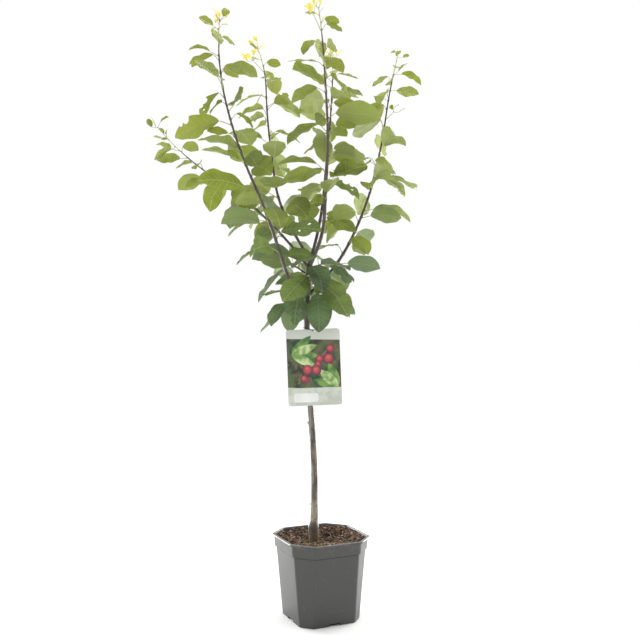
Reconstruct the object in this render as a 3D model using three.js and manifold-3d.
// A young plum tree in a square nursery pot, with a picture card tied to its trunk.
// Millimetres, +Z up. The origin is the centre of the pot's flat underside.
import * as THREE from 'three';
import { mergeVertices } from 'three/addons/utils/BufferGeometryUtils.js';
import Module from 'manifold-3d';

const wasm = await Module();
wasm.setup();

// Clear space between pieces that lie against each other
const gap = 0.3;

// Pot: square with cut corners, wider at the rim, turned to the right about its upright axis
const pot = {
  turn: 24.45,
  height: 185,
  baseSide: 146.6,
  baseCut: 23.5,
  rimSide: 196,
  rimCut: 37.4,
  bandDrop: 29,
  bandStep: 7.4,
  bandRise: 0.8,
  lipDrop: 4,
  lipRise: 0.4,
  lipOverhang: 4.4,
  wall: 2,
  floor: 3,
  notchWidth: 27,
  notchHeight: 7,
  notchDepth: 7,
};

// Soil: fills the pot to a level below the rim, and lies higher along the wall
const soilLevel = 171;
const soilStep = 0.5;
const soilDish = { rise: 10, width: 55 };

// Trunk: its line, and its radius at heights above the soil, with the graft's swelling near the foot
const trunk = {
  foot: [-15.2, -8.0, soilLevel],
  length: 635.1,
  side: [0.6, 0.1, -4.6, -2.9, -0.1, 6.3],
  back: [0.3, 0.3],
  heights: [0.3, 18, 31, 38, 45, 90, 170, 300, 420, 520, 590, 618, 630, 633.8],
  radii: [10.8, 11.6, 12.6, 12.0, 9.4, 8.4, 8.0, 7.6, 7.4, 7.4, 7.8, 8.2, 7.4, 5.6],
  sides: 10,
};

// Shoots: foot height on the trunk, length, slopes to the side and to the back from foot to tip in
// degrees, radius at the foot, and the share of the length that is a bare bough below the leaves
const shoots = {
  left_tall: {
    foot: 670, length: 680, radius: 4.4, bare: 0.16,
    side: [-26, -17, -24, -13, 6], back: [-24, -17, -12, -6],
  },
  right: {
    foot: 726, length: 645, radius: 4.2, bare: 0.15,
    side: [49, 27, 15, 8, 15], back: [18, 12, 9, 8],
  },
  left_low: {
    foot: 788, length: 460, radius: 3.4, bare: 0.2,
    side: [-36, -45, -57, -43], back: [14, 8, 2],
  },
  left_mid: {
    foot: 805, length: 595, radius: 4.0, bare: 0.16,
    side: [-30, -27, -8, -7, -2, -22], back: [30, 20, 14, 12],
  },
  centre_front: {
    foot: 799, length: 565, radius: 4.6, bare: 0.16,
    side: [32, 3, 3, -3, -4, -8], back: [-12, -10, -8, -4],
  },
  centre_back: {
    foot: 805, length: 510, radius: 4.0, bare: 0.18,
    side: [17, 5, 5, 0], back: [16, 14, 10, 8],
  },
};
const shootThinning = 0.74;

// Habit of the leaves along a shoot. Each range is a middle and how far a leaf may stray from it:
// lengths are in millimetres, angles in degrees, and the rest are shares.
const shootHabit = {
  leafLength: 92,
  stalkLength: 22,
  spacing: 29,
  firstLeaf: 8,
  scale: [1, 0.16],
  stalkScale: [1, 0.25],
  budTurn: [0, 22],
  stalkLift: [50, 14],
  heading: [0, 25],
  rise: [4, 28],
  arch: [34, 24],
  roll: [0, 62],
  fold: [18, 12],
  sweep: [0, 0.1],
  width: [0.62, 0.06],
  youngFrom: 0.86,
  youngRise: 48,
  clearance: 9,
  tries: 5,
  tuft: 3,
  tuftSize: 0.2,
  twigChance: 0.16,
  twigFrom: 0.68,
  twigLift: [42, 10],
  twigLength: [38, 10],
  twigLeafSize: 0.24,
};

// Habit of the leaf clusters on short spurs of the trunk
const spurHabit = {
  ...shootHabit,
  stemLength: 52,
  stemTilt: 35,
  sizes: [1, 1, 0.9],
  leafLength: 94,
  spacing: 7,
  rise: [-30, 34],
  roll: [0, 55],
  youngFrom: 1,
  clearance: 8,
  tries: 8,
  tuft: 0,
  twigChance: 0,
};

// Masses of foliage, in the order in which they claim their space: each has its own seed, and
// sizes are the leaves' sizes from the foot of the mass to its tip
const masses = {
  spur_front: { ...spurHabit, seed: 763, height: 742, facing: -80, spacing: 11 },
  spur_right: { ...spurHabit, seed: 1226, height: 704, facing: -18 },
  spur_left: { ...spurHabit, seed: 485, height: 690, facing: 188 },
  spur_top_left: { ...spurHabit, seed: 1123, height: 772, facing: 165, rise: [-15, 34] },
  spur_top_right: { ...spurHabit, seed: 1017, height: 778, facing: 20, rise: [-15, 34] },
  left_tall: { ...shootHabit, seed: 939, sizes: [0.95, 1, 1, 1, 0.95, 0.75, 0.25] },
  centre_front: { ...shootHabit, seed: 230, sizes: [0.9, 1, 1, 1, 0.9, 0.7, 0.2] },
  right: { ...shootHabit, seed: 305, sizes: [0.9, 1, 1, 1, 0.95, 0.6, 0.15], tuft: 1 },
  left_mid: { ...shootHabit, seed: 452, sizes: [0.9, 0.95, 0.95, 0.9, 0.8, 0.55, 0.2] },
  left_low: { ...shootHabit, seed: 489, sizes: [0.95, 1, 0.85, 0.6, 0.4] },
  centre_back: { ...shootHabit, seed: 1225, sizes: [0.95, 1, 1, 0.95, 0.85, 0.6, 0.2] },
  spur_back: { ...spurHabit, seed: 706, height: 738, facing: 95 },
};

// Picture card: a thin plastic sheet in front of the trunk, and the tie that holds it
const card = {
  width: 121,
  height: 172,
  thickness: 0.8,
  corner: 7,
  centre: [-15.1, 565.2],
  tilt: 2.2,
  hole: [3.8, 81.5],
  holeRadius: 1.8,
};
const tie = { radius: 0.7, slant: 0.3, slack: 0.35, sides: 6, steps: 48 };

const zAxis = new THREE.Vector3(0, 0, 1);
const xAxis = new THREE.Vector3(1, 0, 0);
const radians = THREE.MathUtils.degToRad;

// Reads a value off a short list whose entries are spread evenly from 0 to 1
function between(values, share) {
  const place = THREE.MathUtils.clamp(share, 0, 1) * (values.length - 1);
  const index = Math.min(Math.floor(place), values.length - 2);
  return values[index] + (values[index + 1] - values[index]) * (place - index);
}

// Seeded dice, so the same seed always grows the same mass
class Dice {
  constructor(seed) {
    this.state = seed * 7919 + 17;
    for (let i = 0; i < 4; i += 1) this.roll();
  }

  roll() {
    this.state = (this.state * 48271) % 2147483647;
    return this.state / 2147483647;
  }

  around([middle, reach]) {
    return middle + reach * (2 * this.roll() - 1);
  }
}

// A limb's line: it climbs from its foot in short equal steps, with its slopes read off two lists
const lineStep = 5;

function growLine(foot, side, back, length) {
  const count = Math.max(2, Math.floor(length / lineStep + 0.5));
  const points = [foot.clone()];
  for (let i = 0; i < count; i += 1) {
    const share = (i + 0.5) / count;
    const sideways = Math.tan(radians(between(side, share)));
    const backwards = Math.tan(radians(between(back, share)));
    const climb = length / count / Math.hypot(sideways, backwards, 1);
    const step = new THREE.Vector3(sideways * climb, backwards * climb, climb);
    points.push(points[i].clone().add(step));
  }
  return { points, length };
}

function straightLine(foot, direction, length) {
  const steps = [0, 0.25, 0.5, 0.75, 1];
  const points = steps.map((share) => foot.clone().addScaledVector(direction, length * share));
  return { points, length };
}

// The point and the direction of a line at a distance from its foot
function pointAt(line, along) {
  const last = line.points.length - 1;
  const place = THREE.MathUtils.clamp(along / line.length, 0, 1) * last;
  const index = Math.min(Math.floor(place), last - 1);
  const step = line.points[index + 1].clone().sub(line.points[index]);
  const point = line.points[index].clone().addScaledVector(step, place - index);
  return { point, direction: step.normalize() };
}

// Two directions square to a line, the first as near to +X as it can be
function squareTo(direction) {
  const first = xAxis.clone().addScaledVector(direction, -direction.x).normalize();
  const second = direction.clone().cross(first);
  return [first, second];
}

function aroundLine(direction, azimuth) {
  const [first, second] = squareTo(direction);
  return first.multiplyScalar(Math.cos(azimuth)).addScaledVector(second, Math.sin(azimuth));
}

// Closed skin through a row of rings; a ring of one point is a sharp end
function skin(rings) {
  const positions = rings.flat().flatMap((point) => [point.x, point.y, point.z]);
  const faces = [];
  const starts = [];
  let total = 0;
  for (const ring of rings) {
    starts.push(total);
    total += ring.length;
  }
  const corner = (i, k) => starts[i] + (k % rings[i].length);
  for (let i = 0; i + 1 < rings.length; i += 1) {
    const sides = Math.max(rings[i].length, rings[i + 1].length);
    for (let k = 0; k < sides; k += 1) {
      const lower = [corner(i, k), corner(i, (k + 1) % sides)];
      const upper = [corner(i + 1, k), corner(i + 1, (k + 1) % sides)];
      if (lower[0] !== lower[1]) faces.push(lower[0], lower[1], upper[1]);
      if (upper[0] !== upper[1]) faces.push(lower[0], upper[1], upper[0]);
    }
  }
  const end = rings.length - 1;
  for (let k = 1; k + 1 < rings[0].length; k += 1) faces.push(0, k + 1, k);
  for (let k = 1; k + 1 < rings[end].length; k += 1) {
    faces.push(starts[end], starts[end] + k, starts[end] + k + 1);
  }
  const geometry = new THREE.BufferGeometry();
  geometry.setAttribute('position', new THREE.Float32BufferAttribute(positions, 3));
  geometry.setIndex(faces);
  return geometry;
}

// Round ring about a line
function ringAbout(point, direction, radius, sides) {
  const ring = [];
  for (let k = 0; k < sides; k += 1) {
    const outward = aroundLine(direction, (2 * Math.PI * k) / sides);
    ring.push(point.clone().addScaledVector(outward, radius));
  }
  return ring;
}

// Tapering tube along part of a line
function limbSkin(line, from, to, radiusAt, sides, stride) {
  const count = Math.max(1, Math.round((to - from) / stride));
  const rings = [];
  for (let i = 0; i <= count; i += 1) {
    const along = from + ((to - from) * i) / count;
    const { point, direction } = pointAt(line, along);
    rings.push(ringAbout(point, direction, radiusAt(along), sides));
  }
  return skin(rings);
}

// Solids for joining and cutting
function toSolid(geometry) {
  const vertProperties = new Float32Array(geometry.attributes.position.array);
  const triVerts = new Uint32Array(geometry.index.array);
  return new wasm.Manifold(new wasm.Mesh({ numProp: 3, vertProperties, triVerts }));
}

function toGeometry(solid) {
  const mesh = solid.getMesh();
  const geometry = new THREE.BufferGeometry();
  geometry.setAttribute('position', new THREE.BufferAttribute(mesh.vertProperties, 3));
  geometry.setIndex(new THREE.BufferAttribute(mesh.triVerts, 1));
  return geometry;
}

// The largest body of a solid, so that a scrap left by a cut is dropped
function largestBody(solid) {
  const bodies = solid.decompose();
  return bodies.reduce((best, body) => (body.volume() > best.volume() ? body : best));
}

// Trunk
const trunkLine = growLine(new THREE.Vector3(...trunk.foot), trunk.side, trunk.back, trunk.length);
const trunkRise = trunkLine.points.at(-1).z - soilLevel;

function onTrunk(height) {
  return pointAt(trunkLine, (trunk.length * (height - soilLevel)) / trunkRise).point;
}

function trunkSkin(extra) {
  const top = trunk.heights.length - 1;
  const rings = trunk.heights.map((height, i) => {
    const centre = onTrunk(soilLevel + height + (i === top ? extra : 0));
    return ringAbout(centre, zAxis, trunk.radii[i] + extra, trunk.sides);
  });
  return skin(rings);
}

function trunkRadius(height) {
  const above = height - soilLevel;
  const index = trunk.heights.findIndex((level) => level > above) - 1;
  const share = (above - trunk.heights[index]) / (trunk.heights[index + 1] - trunk.heights[index]);
  return trunk.radii[index] + (trunk.radii[index + 1] - trunk.radii[index]) * share;
}

// Shoots: every line is grown first, because all leaves keep clear of all limbs
for (const shoot of Object.values(shoots)) {
  shoot.line = growLine(onTrunk(shoot.foot), shoot.side, shoot.back, shoot.length);
  shoot.radiusAt = (along) => shoot.radius * (1 - (shootThinning * along) / shoot.length);
}

// Space that is already taken, as small clouds of points with a margin of their own
class Space {
  constructor() {
    this.clouds = [];
  }

  cloud(points, margin) {
    const centre = new THREE.Vector3();
    for (const point of points) centre.addScaledVector(point, 1 / points.length);
    const reach = Math.max(...points.map((point) => point.distanceTo(centre)));
    return { points, margin, centre, reach };
  }

  add(points, margin) {
    this.clouds.push(this.cloud(points, margin));
  }

  isClear(points, clearance) {
    const mine = this.cloud(points, clearance);
    return this.clouds.every((other) => {
      const distance = clearance + other.margin;
      if (mine.centre.distanceTo(other.centre) > mine.reach + other.reach + distance) return true;
      return mine.points.every((point) =>
        other.points.every((taken) => point.distanceToSquared(taken) >= distance * distance));
    });
  }
}

const space = new Space();
const cloudLength = 8;
const trunkMargin = 3;
const shootMargin = -1;

function claimLine(line, margin) {
  for (let i = 0; i < line.points.length - 1; i += cloudLength) {
    space.add(line.points.slice(i, i + cloudLength + 1), margin);
  }
}

claimLine(trunkLine, trunkMargin);
for (const shoot of Object.values(shoots)) claimLine(shoot.line, shootMargin);

// The card's place is claimed as an upright sheet of points
const cardSheet = { left: -75, right: 48, foot: 477, top: 660, front: -14, step: 8 };
const cardPoints = [];
for (let x = cardSheet.left; x < cardSheet.right; x += cardSheet.step) {
  for (let z = cardSheet.foot; z < cardSheet.top; z += cardSheet.step) {
    cardPoints.push(new THREE.Vector3(x, cardSheet.front, z));
  }
}
space.add(cardPoints, 0);

// Half width of a leaf at a share of its length, as a share of the greatest half width
const outlineSkew = 1.1;
const outlineFullness = 0.75;

function leafOutline(share) {
  if (share <= 0 || share >= 1) return 0;
  return Math.sin(Math.PI * share ** outlineSkew) ** outlineFullness;
}

// A cross section of a blade: the blade arches over, rolls about its length and folds at its midrib
function bladeSection(leaf, share) {
  const slope = leaf.rise - leaf.arch * share;
  const outward = new THREE.Vector3(Math.cos(leaf.heading), Math.sin(leaf.heading), 0);
  const level = new THREE.Vector3(-outward.y, outward.x, 0);
  const reach = ((Math.sin(leaf.rise) - Math.sin(slope)) / leaf.arch) * leaf.length;
  const climb = ((Math.cos(slope) - Math.cos(leaf.rise)) / leaf.arch) * leaf.length;
  const along = outward.clone().multiplyScalar(Math.cos(slope)).addScaledVector(zAxis, Math.sin(slope));
  const normal = along.clone().cross(level);
  const across = level.applyAxisAngle(along, leaf.roll);
  const face = normal.applyAxisAngle(along, leaf.roll);
  const middle = leaf.base.clone().addScaledVector(outward, reach).addScaledVector(zAxis, climb);
  middle.addScaledVector(across, leaf.sweep * leaf.length * share * share);
  return { middle, across, face, half: (leafOutline(share) * leaf.width) / 2 };
}

function bladePoint(leaf, section, side) {
  const reach = section.half * side * Math.cos(leaf.fold);
  const lift = section.half * Math.abs(side) * Math.sin(leaf.fold);
  const point = section.middle.clone().addScaledVector(section.across, reach);
  return point.addScaledVector(section.face, lift);
}

// Points over the blade and one on its stalk, with which a leaf looks for clear space
const cloudRows = 10;
const cloudColumns = 7;
const stalkPoint = 0.6;

function leafCloud(leaf) {
  const points = [];
  for (let i = 0; i < cloudRows; i += 1) {
    const section = bladeSection(leaf, i / (cloudRows - 1));
    for (let k = 0; k < cloudColumns; k += 1) {
      points.push(bladePoint(leaf, section, (2 * k) / (cloudColumns - 1) - 1));
    }
  }
  points.push(leaf.start.clone().lerp(leaf.base, stalkPoint));
  return points;
}

// Draws one leaf from the dice: where its stalk leaves the stem, and how its blade is set
const shortStalk = 0.4;

function drawLeaf(dice, habit, size, young, place, azimuth) {
  const outward = aroundLine(place.direction, azimuth + radians(dice.around(habit.budTurn)));
  const scale = size * dice.around(habit.scale);
  const length = habit.leafLength * scale;
  const grownStalk = habit.stalkLength * (shortStalk + (1 - shortStalk) * scale);
  const stalk = grownStalk * dice.around(habit.stalkScale);
  const lift = radians(dice.around(habit.stalkLift));
  const way = outward.clone().multiplyScalar(Math.sin(lift));
  way.addScaledVector(place.direction, Math.cos(lift));
  const start = place.point.clone().addScaledVector(outward, place.radius);
  return {
    root: place.point,
    start,
    base: start.clone().addScaledVector(way, stalk),
    way,
    scale,
    length,
    heading: Math.atan2(way.y, way.x) + radians(dice.around(habit.heading)),
    rise: radians(dice.around(habit.rise) + habit.youngRise * young),
    arch: radians(dice.around(habit.arch)),
    roll: radians(dice.around(habit.roll)),
    fold: radians(dice.around(habit.fold)),
    sweep: dice.around(habit.sweep),
    width: length * dice.around(habit.width),
  };
}

// A leaf that finds no clear space in a few tries is skipped; small leaves may stand closer
const closeLeaf = 0.15;

function placeLeaf(dice, habit, size, young, place, azimuth, leaves) {
  for (let i = 0; i < habit.tries; i += 1) {
    const leaf = drawLeaf(dice, habit, size, young, place, azimuth);
    const points = leafCloud(leaf);
    if (space.isClear(points, habit.clearance * Math.min(1, leaf.scale + closeLeaf))) {
      space.add(points, 0);
      leaves.push(leaf);
      return;
    }
  }
}

// A ring of small young leaves
const tuftLeaves = 3;
const tuftTurn = radians(120);

function placeTuft(dice, habit, count, size, place, azimuth, leaves) {
  for (let k = 0; k < count; k += 1) {
    placeLeaf(dice, habit, size, 1, place, azimuth + tuftTurn * k, leaves);
  }
}

// Short side twig with a tuft at its end
const tipInset = 2;
const tipRadius = 0.5;

function placeTwig(dice, habit, place, azimuth, leaves) {
  const lift = radians(dice.around(habit.twigLift));
  const way = aroundLine(place.direction, azimuth).multiplyScalar(Math.sin(lift));
  way.addScaledVector(place.direction, Math.cos(lift));
  const length = dice.around(habit.twigLength);
  const twig = straightLine(place.point, way, length);
  const end = { ...pointAt(twig, length - tipInset), radius: tipRadius };
  placeTuft(dice, habit, tuftLeaves, habit.twigLeafSize, end, azimuth, leaves);
  return twig;
}

// Grows the leaves and twigs of one mass along its stem, turning a set angle from bud to bud.
// Small leaves stand closer along the stem.
const nextBud = radians(137.5);
const closeBuds = 0.3;
const tipBare = 3;

function growMass(habit, line, first, last, radiusAt) {
  const dice = new Dice(habit.seed);
  const leaves = [];
  const twigs = [];
  let azimuth = dice.roll() * 2 * Math.PI;
  let along = first + habit.firstLeaf;
  while (along < last - tipBare) {
    const share = (along - first) / (last - first);
    const place = { ...pointAt(line, along), radius: radiusAt(along) };
    const size = between(habit.sizes, share);
    const young = Math.max(0, (share - habit.youngFrom) / (1 - shootHabit.youngFrom));
    const chance = dice.roll();
    if (chance < habit.twigChance && share > habit.twigFrom) {
      twigs.push(placeTwig(dice, habit, place, azimuth, leaves));
    } else {
      placeLeaf(dice, habit, size, young, place, azimuth, leaves);
    }
    azimuth += nextBud;
    along += habit.spacing * (closeBuds + (1 - closeBuds) * Math.min(1, size));
  }
  const tip = { ...pointAt(line, last - tipInset), radius: radiusAt(last) };
  placeTuft(dice, habit, habit.tuft, habit.tuftSize, tip, azimuth, leaves);
  return { leaves, twigs };
}

// Leaf solid: a stalk rooted on the stem's axis that runs on into a thin blade, thickest at its rib
const stalkHalf = 0.8;
const thinStalk = 0.55;
const ribThickness = 0.021;
const youngScale = 0.45;
const bladeShares = [0.16, 0.4, 0.66, 0.88];
const youngShares = [0.3, 0.7];

function fourSides(centre, across, face, half, lift, thickness) {
  return [
    centre.clone().addScaledVector(across, half).addScaledVector(face, lift),
    centre.clone().addScaledVector(face, thickness / 2),
    centre.clone().addScaledVector(across, -half).addScaledVector(face, lift),
    centre.clone().addScaledVector(face, -thickness / 2),
  ];
}

function leafSolid(leaf) {
  const first = bladeSection(leaf, 0);
  const across = first.across.addScaledVector(leaf.way, -first.across.dot(leaf.way)).normalize();
  const face = leaf.way.clone().cross(across);
  const half = Math.min(stalkHalf, stalkHalf * (thinStalk + leaf.scale / 2));
  const rings = [fourSides(leaf.root, across, face, half, 0, 2 * half)];
  rings.push(fourSides(leaf.base, across, face, half, 0, 2 * half));
  const thickness = Math.max(leaf.length * ribThickness, half);
  for (const share of leaf.scale > youngScale ? bladeShares : youngShares) {
    const section = bladeSection(leaf, share);
    const reach = section.half * Math.cos(leaf.fold);
    const lift = section.half * Math.sin(leaf.fold);
    rings.push(fourSides(section.middle, section.across, section.face, reach, lift, thickness));
  }
  rings.push([bladeSection(leaf, 1).middle]);
  return toSolid(skin(rings));
}

// One mass of foliage: stem, side twigs and leaves joined into one solid
const twigSides = 5;
const twigRadius = 1.3;
const twigThinning = 0.4;
const stemStride = 30;

function massSolid(grown, stem) {
  const pieces = [stem];
  for (const twig of grown.twigs) {
    const thin = (along) => twigRadius * (1 - (twigThinning * along) / twig.length);
    pieces.push(toSolid(limbSkin(twig, 0, twig.length, thin, twigSides, twig.length)));
  }
  for (const leaf of grown.leaves) pieces.push(leafSolid(leaf));
  return largestBody(wasm.Manifold.union(pieces));
}

// Pot: rings go up the outside, over the lip and down the inside to the floor
function potRing(side, cut, height) {
  const half = side / 2;
  const corners = [
    [half, -half + cut], [half, half - cut], [half - cut, half], [-half + cut, half],
    [-half, half - cut], [-half, -half + cut], [-half + cut, -half], [half - cut, -half],
  ];
  const turn = radians(pot.turn);
  return corners.map(([x, y]) => new THREE.Vector3(x, y, height).applyAxisAngle(zAxis, turn));
}

// The tapering side of the pot at a height, moved in or out by a distance
function potSide(height, inset) {
  const share = height / pot.height;
  const side = pot.baseSide + (pot.rimSide - 2 * pot.bandStep - pot.baseSide) * share - 2 * inset;
  const cut = pot.baseCut + (pot.rimCut - pot.baseCut) * share - inset * (2 - Math.SQRT2);
  return potRing(side, cut, height);
}

function potSkin() {
  const band = pot.height - pot.bandDrop;
  const lip = pot.height - pot.lipDrop;
  const step = -pot.bandStep + pot.lipOverhang;
  return skin([
    potSide(0, 0),
    potSide(band, 0),
    potSide(band + pot.bandRise, step),
    potSide(lip, step),
    potSide(lip + pot.lipRise, -pot.bandStep),
    potSide(pot.height, -pot.bandStep),
    potSide(pot.height, step + pot.wall),
    potSide(band + pot.wall, step + pot.wall),
    potSide(band, pot.wall),
    potSide(pot.floor, pot.wall),
  ]);
}

// Drain notches: cut through the foot of the wall in the middle of each long side. The cutting
// block stands out of the pot a little at the front and below.
const blockMargin = 1;

function potSolid() {
  let solid = toSolid(potSkin());
  for (let k = 0; k < 4; k += 1) {
    const block = new THREE.BoxGeometry(pot.notchWidth, pot.notchDepth, pot.notchHeight);
    const middle = (pot.baseSide - pot.notchDepth) / 2 + blockMargin;
    block.translate(0, middle, pot.notchHeight / 2 - blockMargin);
    block.rotateZ(radians(pot.turn + 90 * k));
    block.deleteAttribute('normal');
    block.deleteAttribute('uv');
    solid = solid.subtract(toSolid(mergeVertices(block)));
  }
  return solid;
}

// Soil: fills the pot inside its wall, with the same step as the wall at the band, and dips to a
// level middle where the trunk stands
function soilSkin() {
  const band = pot.height - pot.bandDrop;
  const inside = pot.wall + gap;
  const insideBand = inside - pot.bandStep + pot.lipOverhang;
  return skin([
    potSide(pot.floor + gap, inside),
    potSide(band + gap, inside),
    potSide(band + pot.wall + soilStep, insideBand),
    potSide(soilLevel + soilDish.rise, insideBand),
    potSide(soilLevel, insideBand + soilDish.width),
  ]);
}

// Card: a rounded sheet that stands against the front of the trunk
function cardShape() {
  const { width, height, corner } = card;
  const shape = new THREE.Shape();
  const right = width / 2 - corner;
  const top = height / 2 - corner;
  shape.absarc(right, top, corner, 0, Math.PI / 2);
  shape.absarc(-right, top, corner, Math.PI / 2, Math.PI);
  shape.absarc(-right, -top, corner, Math.PI, 1.5 * Math.PI);
  shape.absarc(right, -top, corner, 1.5 * Math.PI, 2 * Math.PI);
  const hole = new THREE.Path();
  hole.absarc(...card.hole, card.holeRadius, 0, 2 * Math.PI, true);
  shape.holes.push(hole);
  return shape;
}

const cardTop = card.centre[1] + card.height / 2;
const cardFoot = card.centre[1] - card.height / 2;
const trunkFronts = [cardFoot, cardTop].map((height) => onTrunk(height).y - trunkRadius(height));
const cardBack = Math.min(...trunkFronts) - gap;

// Tie: one closed loop through the card's hole, behind the trunk and back over the card's top edge
function tieCurve() {
  const cosine = Math.cos(radians(card.tilt));
  const sine = Math.sin(radians(card.tilt));
  const holeX = card.centre[0] + card.hole[0] * cosine - card.hole[1] * sine;
  const holeZ = card.centre[1] + card.hole[1] * cosine + card.hole[0] * sine;
  const axis = onTrunk(holeZ);
  const reach = trunkRadius(holeZ) + tie.radius + tie.slack;
  const hole = holeX - axis.x;
  const sheet = cardBack - card.thickness / 2 - axis.y;
  const front = sheet - card.thickness / 2 - tie.radius - 0.9;
  const route = [
    [hole, sheet],
    [hole - 0.8, sheet + 3.8],
    [reach + 3.4, 2],
    [0.75 * reach, 0.75 * reach],
    [0, reach],
    [-0.73 * reach, 0.71 * reach],
    [-reach, 0],
    [-reach, -0.55 * reach],
    [-0.55 * reach, sheet - 0.9],
    [0.4 * reach, front],
    [hole - 5, front],
    [hole - 0.9, front + 0.4],
  ];
  const points = route.map(([x, y]) => {
    const z = holeZ + tie.slant * (hole - x);
    return new THREE.Vector3(axis.x + x, axis.y + y, z);
  });
  return new THREE.CatmullRomCurve3(points, true, 'centripetal');
}

// Finishes
function finish(color, roughness) {
  return new THREE.MeshStandardMaterial({ color, roughness, metalness: 0 });
}

const finishes = {
  pot: finish(0x4a4b4a, 0.45),
  soil: finish(0x54402f, 1),
  bark: finish(0x7a6f62, 0.85),
  youngWood: finish(0x574a4e, 0.6),
  leaf: finish(0x6f9636, 0.5),
  shadeLeaf: finish(0x3f6a35, 0.5),
  card: finish(0xdcd8d0, 0.3),
  tie: finish(0x2a2a2a, 0.5),
};

// Assembly
const plant = new THREE.Group();

function addPiece(name, geometry, material) {
  const mesh = new THREE.Mesh(geometry, material);
  mesh.name = name;
  plant.add(mesh);
  return mesh;
}

addPiece('pot', toGeometry(potSolid()), finishes.pot);
addPiece('soil', soilSkin(), finishes.soil);
addPiece('trunk', trunkSkin(0), finishes.bark);

// Each bough is cut clear of the trunk and of the boughs before it
const boughSides = 8;
const widened = [toSolid(trunkSkin(gap))];
for (const [name, shoot] of Object.entries(shoots)) {
  const end = shoot.bare * shoot.length;
  const wider = (along) => shoot.radiusAt(along) + gap;
  let bough = toSolid(limbSkin(shoot.line, 0, end, shoot.radiusAt, boughSides, stemStride));
  for (const solid of widened) bough = bough.subtract(solid);
  addPiece(`bough_${name}`, toGeometry(largestBody(bough)), finishes.youngWood);
  widened.push(toSolid(limbSkin(shoot.line, 0, end, wider, boughSides, stemStride)));
}

// A shoot's mass goes on from its bough's tip, and a spur's mass stands on the trunk
const stemSides = 6;
const spurRadius = 2.2;
const spurTaper = 0.8;
const spurStart = 8;

for (const [name, habit] of Object.entries(masses)) {
  const shoot = shoots[name];
  if (shoot) {
    const first = shoot.bare * shoot.length;
    const stem = limbSkin(shoot.line, first + gap, shoot.length, shoot.radiusAt, stemSides, stemStride);
    const grown = growMass(habit, shoot.line, first, shoot.length, shoot.radiusAt);
    addPiece(`leaves_${name}`, toGeometry(massSolid(grown, toSolid(stem))), finishes.leaf);
  } else {
    const way = new THREE.Vector3(1, 0, Math.tan(radians(habit.stemTilt))).normalize();
    way.applyAxisAngle(zAxis, radians(habit.facing));
    const line = straightLine(onTrunk(habit.height), way, habit.stemLength);
    const radiusAt = (along) => spurRadius - (spurTaper * along) / habit.stemLength;
    const stem = limbSkin(line, 0, habit.stemLength, radiusAt, stemSides, stemStride);
    const rooted = largestBody(toSolid(stem).subtract(widened[0]));
    const grown = growMass(habit, line, spurStart, habit.stemLength, radiusAt);
    addPiece(`leaves_${name}`, toGeometry(massSolid(grown, rooted)), finishes.shadeLeaf);
  }
}

const cardGeometry = new THREE.ExtrudeGeometry(cardShape(), {
  depth: card.thickness,
  bevelEnabled: false,
  curveSegments: 5,
});
cardGeometry.rotateZ(radians(card.tilt));
const cardMesh = addPiece('label_card', cardGeometry, finishes.card);
cardMesh.rotation.x = Math.PI / 2;
cardMesh.position.set(card.centre[0], cardBack, card.centre[1]);

const tieGeometry = new THREE.TubeGeometry(tieCurve(), tie.steps, tie.radius, tie.sides, true);
addPiece('label_tie', tieGeometry, finishes.tie);

export default plant;
